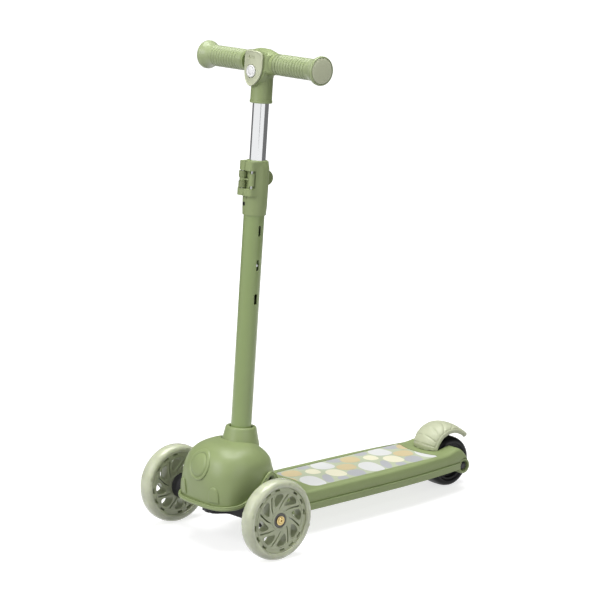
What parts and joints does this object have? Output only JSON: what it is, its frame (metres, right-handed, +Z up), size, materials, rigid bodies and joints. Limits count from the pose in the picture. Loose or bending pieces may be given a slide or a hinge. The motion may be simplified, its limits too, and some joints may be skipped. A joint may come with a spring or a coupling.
{
  "type": "kick scooter",
  "caption": "Child's three-wheeled lean-to-steer kick scooter with a domed front shell, height-adjustable T-bar, printed deck pad and rear foot brake.",
  "frame": {"origin": "centre of the bounding box on the ground plane, under the deck", "axes": "+Z up, the rider faces -Y, +X is the rider's left"},
  "size_m": [0.267, 0.545, 0.7262],
  "materials": {
    "sage_plastic": "satin moulded plastic",
    "grip_rubber": "ribbed soft rubber",
    "post_paint": "satin powder coat",
    "pale_plastic": "satin moulded plastic",
    "clear_tyre": "translucent polyurethane",
    "wheel_core": "gloss moulded plastic",
    "black_tyre": "smooth polyurethane",
    "black_plastic": "glass-filled nylon",
    "black_rubber": "elastomer",
    "black_steel": "black oxide",
    "chrome_tube": "polished chrome plate",
    "brass_plated": "yellow zinc plate",
    "white_plastic": "gloss",
    "printed_pad": "printed anti-slip rubber",
    "lever_plastic": "satin moulded plastic",
    "steel": "zinc-plated steel"
  },
  "bodies": {
    "deck": {"deck_top": "sage_plastic", "deck_tray": "sage_plastic", "deck_pad": "printed_pad", "deck_screw_1": "steel", "deck_screw_2": "steel", "deck_screw_3": "steel", "deck_screw_4": "steel", "chassis_nose": "black_plastic", "kingpin_bolt": "steel", "upper_bush": "black_rubber", "front_shell": "sage_plastic", "shell_rim": "sage_plastic", "shell_eye": "sage_plastic", "shell_left_tab": "sage_plastic", "shell_right_tab": "sage_plastic", "neck_collar": "sage_plastic", "post_bolt": "steel", "outer_post": "post_paint", "guide_bush": "black_plastic", "clamp_collar": "sage_plastic", "clamp_set_screw": "black_steel", "lever_pivot_pin": "steel", "clamp_eye_bolt": "steel", "clamp_trunnion": "sage_plastic", "trunnion_pin": "steel", "brake_hinge_pin": "steel", "brake_spring": "steel", "rear_axle_bolt": "steel"},
    "truck": {"truck_beam": "black_plastic", "front_left_axle_bolt": "brass_plated", "front_right_axle_bolt": "brass_plated"},
    "front_left_wheel": {"front_left_tyre": "clear_tyre", "front_left_core": "wheel_core", "front_left_outer_bearing": "steel", "front_left_inner_bearing": "steel", "front_left_spacer": "steel"},
    "front_right_wheel": {"front_right_tyre": "clear_tyre", "front_right_core": "wheel_core", "front_right_outer_bearing": "steel", "front_right_inner_bearing": "steel", "front_right_spacer": "steel"},
    "rear_wheel": {"rear_tyre": "black_tyre", "rear_hub": "black_plastic", "rear_left_bearing": "steel", "rear_right_bearing": "steel", "rear_spacer": "steel"},
    "brake": {"brake_fender": "pale_plastic", "brake_shoe": "black_rubber"},
    "t_bar": {"inner_tube": "chrome_tube", "button_spring": "steel", "tbar_body": "sage_plastic", "badge_plate": "pale_plastic", "badge_medallion": "white_plastic", "handle_tube": "steel", "left_grip": "grip_rubber", "right_grip": "grip_rubber", "left_grip_cap": "pale_plastic", "right_grip_cap": "pale_plastic"},
    "button": {"snap_button": "steel"},
    "lever": {"clamp_lever": "lever_plastic"}
  },
  "joints": [
    {"name": "truck_steer", "type": "hinge", "parent": "deck", "child": "truck", "pos_m": [0, -0.2315, 0.049], "axis": [0, -0.2588, 0.9659], "range_deg": [-15, 15], "stiffness_Nm_per_rad": 10},
    {"name": "front_left_spin", "type": "hinge", "parent": "truck", "child": "front_left_wheel", "pos_m": [0.1215, -0.2125, 0.06], "axis": [1, 0, 0], "continuous": true},
    {"name": "front_right_spin", "type": "hinge", "parent": "truck", "child": "front_right_wheel", "pos_m": [-0.1215, -0.2125, 0.06], "axis": [1, 0, 0], "continuous": true},
    {"name": "rear_spin", "type": "hinge", "parent": "deck", "child": "rear_wheel", "pos_m": [0, 0.2325, 0.04], "axis": [1, 0, 0], "continuous": true},
    {"name": "brake_press", "type": "hinge", "parent": "deck", "child": "brake", "pos_m": [0, 0.1895, 0.058], "axis": [1, 0, 0], "range_deg": [-3.5, 0], "stiffness_Nm_per_rad": 0.8, "springref_deg": 5.73},
    {"name": "height_slide", "type": "slide", "parent": "deck", "child": "t_bar", "axis": [0, 0.0832, 0.9965], "range_m": [-0.05, 0.05]},
    {"name": "button_press", "type": "slide", "parent": "t_bar", "child": "button", "axis": [-1, 0, 0], "range_m": [0, 0.003], "stiffness_N_per_m": 300, "springref_m": -0.002},
    {"name": "lever_open", "type": "hinge", "parent": "deck", "child": "lever", "pos_m": [-0.0046, -0.17098, 0.53816], "axis": [0, 0.0832, 0.9965], "range_deg": [0, 100]}
  ]
}
